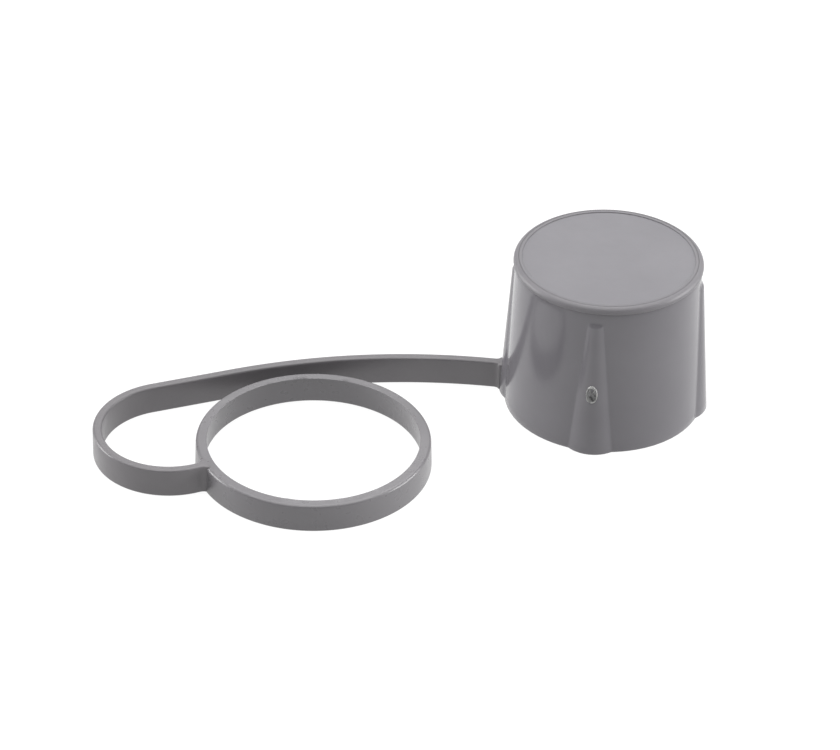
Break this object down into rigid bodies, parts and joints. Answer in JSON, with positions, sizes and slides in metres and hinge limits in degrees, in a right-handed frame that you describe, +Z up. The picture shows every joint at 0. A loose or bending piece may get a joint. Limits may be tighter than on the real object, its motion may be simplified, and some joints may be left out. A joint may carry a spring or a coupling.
{
  "type": "tethered bottle dust cap",
  "caption": "Tapered snap cap with four flared grip lugs, joined by a looped flexible strap to a retaining ring that stays on the bottle neck or pourer collar; the strap folds to carry the cap over the ring.",
  "frame": {"origin": "centre of the retaining ring's hole at its foot", "axes": "+Z up along the ring's bore, +X towards the cap's side with the cap's lugs on the X and Y directions, +Y to the cap's back; everything stands on z = 0"},
  "size_m": [0.0824, 0.0545, 0.0232],
  "materials": {
    "moulded_plastic": "satin moulded polyethylene, soft sheen, warm neutral grey"
  },
  "bodies": {
    "ring": {"retaining_ring": "moulded_plastic", "strap_ring_root": "moulded_plastic"},
    "link_1": {"strap_link_1": "moulded_plastic"},
    "link_2": {"strap_link_2": "moulded_plastic"},
    "link_3": {"strap_link_3": "moulded_plastic"},
    "link_4": {"strap_link_4": "moulded_plastic"},
    "link_5": {"strap_link_5": "moulded_plastic"},
    "link_6": {"strap_link_6": "moulded_plastic"},
    "link_7": {"strap_link_7": "moulded_plastic"},
    "link_8": {"strap_link_8": "moulded_plastic"},
    "link_9": {"strap_link_9": "moulded_plastic"},
    "link_10": {"strap_link_10": "moulded_plastic"},
    "cap": {"strap_cap_root": "moulded_plastic", "cap_skirt": "moulded_plastic", "cap_rim": "moulded_plastic", "cap_top_panel": "moulded_plastic", "lug_right": "moulded_plastic", "lug_back": "moulded_plastic", "lug_strap": "moulded_plastic", "lug_front": "moulded_plastic", "gate_mark": "moulded_plastic"}
  },
  "joints": [
    {"name": "ring_twist", "type": "hinge", "parent": "ring", "child": "link_1", "pos_m": [-0.01664, -0.01068, 0.002], "axis": [-0.9458, -0.3247, 0], "range_deg": [-54.8, 0.01], "stiffness_Nm_per_rad": 0.0015},
    {"name": "loop_bend_1", "type": "hinge", "parent": "link_1", "child": "link_2", "pos_m": [-0.02414, -0.01028, 0.002], "axis": [0, 0, 1], "range_deg": [0, 73.65], "stiffness_Nm_per_rad": 0.0015},
    {"name": "loop_bend_2", "type": "hinge", "parent": "link_2", "child": "link_3", "pos_m": [-0.02925, -0.00477, 0.002], "axis": [0, 0, 1], "range_deg": [-0.01, 73.66], "stiffness_Nm_per_rad": 0.0015},
    {"name": "loop_bend_3", "type": "hinge", "parent": "link_3", "child": "link_4", "pos_m": [-0.0293, 0.00275, 0.002], "axis": [0, 0, 1], "range_deg": [-0.01, 73.66], "stiffness_Nm_per_rad": 0.0015},
    {"name": "fold_bend_1", "type": "hinge", "parent": "link_4", "child": "link_5", "pos_m": [-0.02431, 0.00838, 0.002], "axis": [0, 0, 1], "range_deg": [-78.72, 0.01], "stiffness_Nm_per_rad": 0.0015},
    {"name": "fold_bend_2", "type": "hinge", "parent": "link_5", "child": "link_6", "pos_m": [-0.01758, 0.01211, 0.002], "axis": [0, 0, 1], "range_deg": [-78.72, 0.01], "stiffness_Nm_per_rad": 0.0015},
    {"name": "fold_bend_3", "type": "hinge", "parent": "link_6", "child": "link_7", "pos_m": [-0.0108, 0.01576, 0.002], "axis": [0, 0, 1], "range_deg": [-23.81, 0.01], "stiffness_Nm_per_rad": 0.0015},
    {"name": "fold_bend_4", "type": "hinge", "parent": "link_7", "child": "link_8", "pos_m": [-0.00374, 0.01881, 0.002], "axis": [0, 0, 1], "range_deg": [-23.81, 0.01], "stiffness_Nm_per_rad": 0.0015},
    {"name": "sweep_bend_1", "type": "hinge", "parent": "link_8", "child": "link_9", "pos_m": [0.0036, 0.02112, 0.002], "axis": [0, 0, 1], "range_deg": [-2, 15], "stiffness_Nm_per_rad": 0.0015},
    {"name": "sweep_bend_2", "type": "hinge", "parent": "link_9", "child": "link_10", "pos_m": [0.01113, 0.02269, 0.002], "axis": [0, 0, 1], "range_deg": [-2, 15], "stiffness_Nm_per_rad": 0.0015},
    {"name": "cap_twist", "type": "hinge", "parent": "link_10", "child": "cap", "pos_m": [0.01878, 0.02348, 0.002], "axis": [0.9986, 0.0526, 0], "range_deg": [-54.8, 0.01], "stiffness_Nm_per_rad": 0.0015}
  ],
  "couplings": [
    {"joint": "ring_twist", "follows": "loop_bend_1", "ratio": -0.74393},
    {"joint": "loop_bend_2", "follows": "loop_bend_1", "ratio": 0.99998},
    {"joint": "loop_bend_3", "follows": "loop_bend_1", "ratio": 0.99998},
    {"joint": "fold_bend_1", "follows": "loop_bend_1", "ratio": -1.0687},
    {"joint": "fold_bend_2", "follows": "loop_bend_1", "ratio": -1.0687},
    {"joint": "fold_bend_3", "follows": "loop_bend_1", "ratio": -0.32313},
    {"joint": "fold_bend_4", "follows": "loop_bend_1", "ratio": -0.32313},
    {"joint": "sweep_bend_2", "follows": "sweep_bend_1", "ratio": 1},
    {"joint": "cap_twist", "follows": "loop_bend_1", "ratio": -0.74393}
  ]
}
